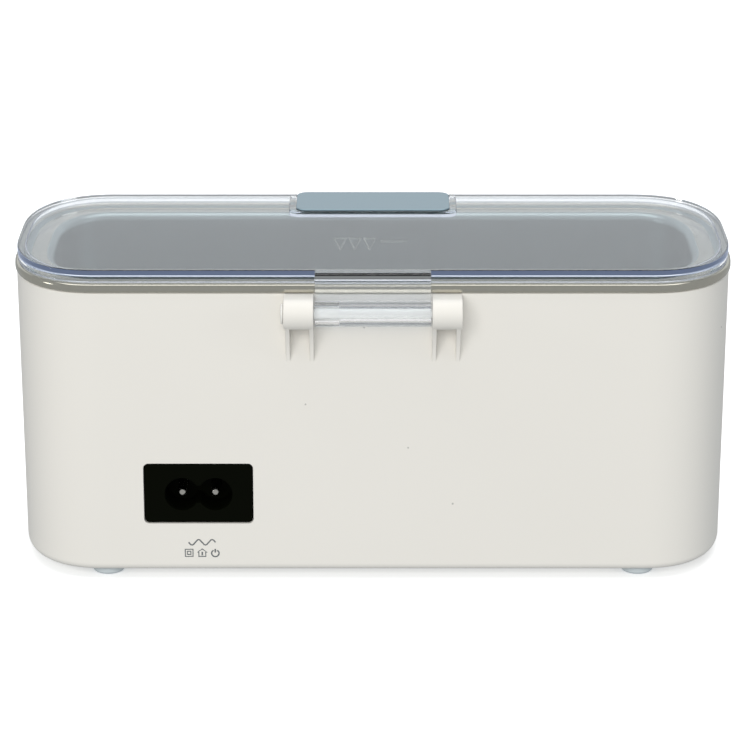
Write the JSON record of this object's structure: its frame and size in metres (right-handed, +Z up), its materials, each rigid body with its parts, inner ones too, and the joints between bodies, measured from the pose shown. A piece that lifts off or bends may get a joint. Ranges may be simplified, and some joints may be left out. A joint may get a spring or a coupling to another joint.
{
  "type": "ultrasonic jewellery cleaner",
  "caption": "Bench-top ultrasonic cleaner: white rounded tub, stainless bath, clear lid hinged at the back, push button and mains inlet.",
  "frame": {"origin": "centre of the object's bounding box, at the height of the surface that its feet stand on", "axes": "+X along the length, towards the side with the mains inlet; +Y towards the back, with the lid hinge and the inlet; +Z up"},
  "size_m": [0.1868, 0.0832, 0.0845],
  "materials": {
    "white_abs": "satin moulded",
    "clear_polycarbonate": "clear polished",
    "stainless_steel": "drawn and brushed",
    "satin_chrome": "satin plated",
    "black_plastic": "fine matt",
    "nickel_plate": "nickel plated",
    "grey_rubber": "matt",
    "silicone": "satin",
    "piezo_ceramic": "unglazed",
    "epoxy": "cured resin",
    "circuit_board": "solder mask",
    "ferrite": "dull",
    "can_sleeve": "shrunk sleeve",
    "copper_wire": "enamelled winding",
    "aluminium": "extruded",
    "yellow_case": "moulded box",
    "black_insulation": "flexible",
    "red_insulation": "flexible",
    "ivory_nylon": "moulded",
    "frosted_acrylic": "frosted"
  },
  "bodies": {
    "base": {"housing": "white_abs", "base_cover": "white_abs", "foot_1": "grey_rubber", "foot_2": "grey_rubber", "foot_3": "grey_rubber", "foot_4": "grey_rubber", "cover_screw_1": "nickel_plate", "cover_screw_2": "nickel_plate", "cover_screw_3": "nickel_plate", "cover_screw_4": "nickel_plate", "tank": "stainless_steel", "tank_seal": "silicone", "transducer_bond": "epoxy", "transducer_disc": "piezo_ceramic", "main_board": "circuit_board", "board_screw_1": "nickel_plate", "board_screw_2": "nickel_plate", "board_screw_3": "nickel_plate", "board_screw_4": "nickel_plate", "mains_connector": "ivory_nylon", "fuse": "ivory_nylon", "filter_capacitor": "yellow_case", "filter_choke": "copper_wire", "smoothing_capacitor_1": "can_sleeve", "smoothing_capacitor_2": "can_sleeve", "bridge_rectifier": "black_plastic", "transformer_core": "ferrite", "transformer_winding": "copper_wire", "heat_sink": "aluminium", "power_transistor_1": "black_plastic", "power_transistor_2": "black_plastic", "transducer_connector": "ivory_nylon", "button_connector": "ivory_nylon", "inlet_body": "black_plastic", "inlet_pin_1": "nickel_plate", "inlet_pin_2": "nickel_plate", "light_ring": "frosted_acrylic", "tact_switch": "black_plastic", "button_board": "circuit_board", "button_screw_1": "nickel_plate", "button_screw_2": "nickel_plate", "lamp_1": "frosted_acrylic", "lamp_2": "frosted_acrylic", "hinge_pin": "ivory_nylon", "mains_wire_1": "black_insulation", "mains_wire_2": "red_insulation", "transducer_wire_1": "red_insulation", "transducer_wire_2": "black_insulation", "button_cable": "ivory_nylon"},
    "lid": {"lid": "clear_polycarbonate", "lid_handle": "satin_chrome"},
    "button": {"button_cap": "satin_chrome", "switch_plunger": "black_plastic"}
  },
  "joints": [
    {"name": "lid_hinge", "type": "hinge", "parent": "base", "child": "lid", "pos_m": [0, 0.03758, 0.0739], "axis": [-1, 0, 0], "range_deg": [0, 105]},
    {"name": "power_button_press", "type": "slide", "parent": "base", "child": "button", "axis": [0, 1, 0], "range_m": [0, 0.0004], "stiffness_N_per_m": 3000}
  ]
}
